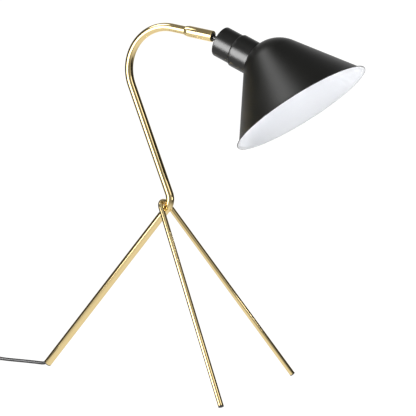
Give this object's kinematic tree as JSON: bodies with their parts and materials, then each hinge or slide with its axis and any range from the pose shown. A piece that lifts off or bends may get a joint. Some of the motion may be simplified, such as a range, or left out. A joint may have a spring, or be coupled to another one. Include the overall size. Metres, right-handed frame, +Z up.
{
  "type": "tripod table lamp",
  "caption": "Table lamp with a bent brass-finish tube on a hairpin tripod, a ball swivel and a tilted black conical shade over a screw lampholder, on a corded switch and plug.",
  "frame": {"origin": "on the table under the middle of the lamp, measured without its cord", "axes": "+X is the way the shade faces, +Y is across the lamp, +Z is up"},
  "size_m": [0.693, 0.2509, 0.518],
  "materials": {
    "tube_brass": "satin brushed brass",
    "filler_brass": "brass filler metal",
    "shade_black": "satin black outside, white inside",
    "socket_black": "satin black paint",
    "stem_black": "black oxide",
    "screw_steel": "zinc plated",
    "spring_steel": "oiled spring steel",
    "foot_rubber": "matt black rubber",
    "cord_black": "matt black sheath",
    "wire_brown": "smooth insulation",
    "wire_blue": "smooth insulation",
    "holder_black": "matt moulded plastic",
    "base_white": "glazed white",
    "contact_brass": "bright brass",
    "switch_black": "moulded plastic",
    "tie_black": "soft strap",
    "pin_nickel": "nickel plated"
  },
  "bodies": {
    "stand": {"main_tube": "tube_brass", "front_legs": "tube_brass", "braze_joint": "filler_brass", "rear_foot_bush": "foot_rubber", "front_foot_pads": "foot_rubber", "tube_cable": "cord_black", "stand_wires": "wire_brown", "swivel_collar": "tube_brass", "collar_screw": "screw_steel", "disc_springs": "spring_steel", "cord_lead": "cord_black", "cord_run": "cord_black", "cord_coil": "cord_black", "cord_end": "cord_black", "cord_tie": "tie_black", "switch_base": "switch_black", "switch_cover": "switch_black", "switch_contacts": "contact_brass", "switch_screws": "screw_steel", "plug_body": "switch_black", "plug_relief": "switch_black", "plug_pins": "pin_nickel"},
    "swivel": {"pressure_cup": "spring_steel"},
    "head": {"swivel_ball": "stem_black", "socket_cap": "socket_black", "lock_nut": "screw_steel", "holder_body": "holder_black", "contact_base": "base_white", "terminal_blocks": "contact_brass", "terminal_screws": "screw_steel", "centre_contact": "contact_brass", "screw_shell": "contact_brass", "holder_skirt": "holder_black", "shade_ring": "holder_black", "neck_sleeve": "socket_black", "shade": "shade_black", "head_wires": "wire_blue"},
    "rocker": {"switch_rocker": "switch_black"}
  },
  "joints": [
    {"name": "head_turn", "type": "hinge", "parent": "stand", "child": "swivel", "pos_m": [0.02707, 0, 0.502], "axis": [0.9888, 0, -0.1495], "range_deg": [-170, 170]},
    {"name": "head_tilt", "type": "hinge", "parent": "swivel", "child": "head", "pos_m": [0.02707, 0, 0.502], "axis": [-0.0227, 0.9884, -0.1503], "range_deg": [-42.7, 13.3]},
    {"name": "rocker_press", "type": "hinge", "parent": "stand", "child": "rocker", "pos_m": [-0.381, -0.006, 0.0146], "axis": [0, 1, 0], "range_deg": [-18, 0]}
  ]
}
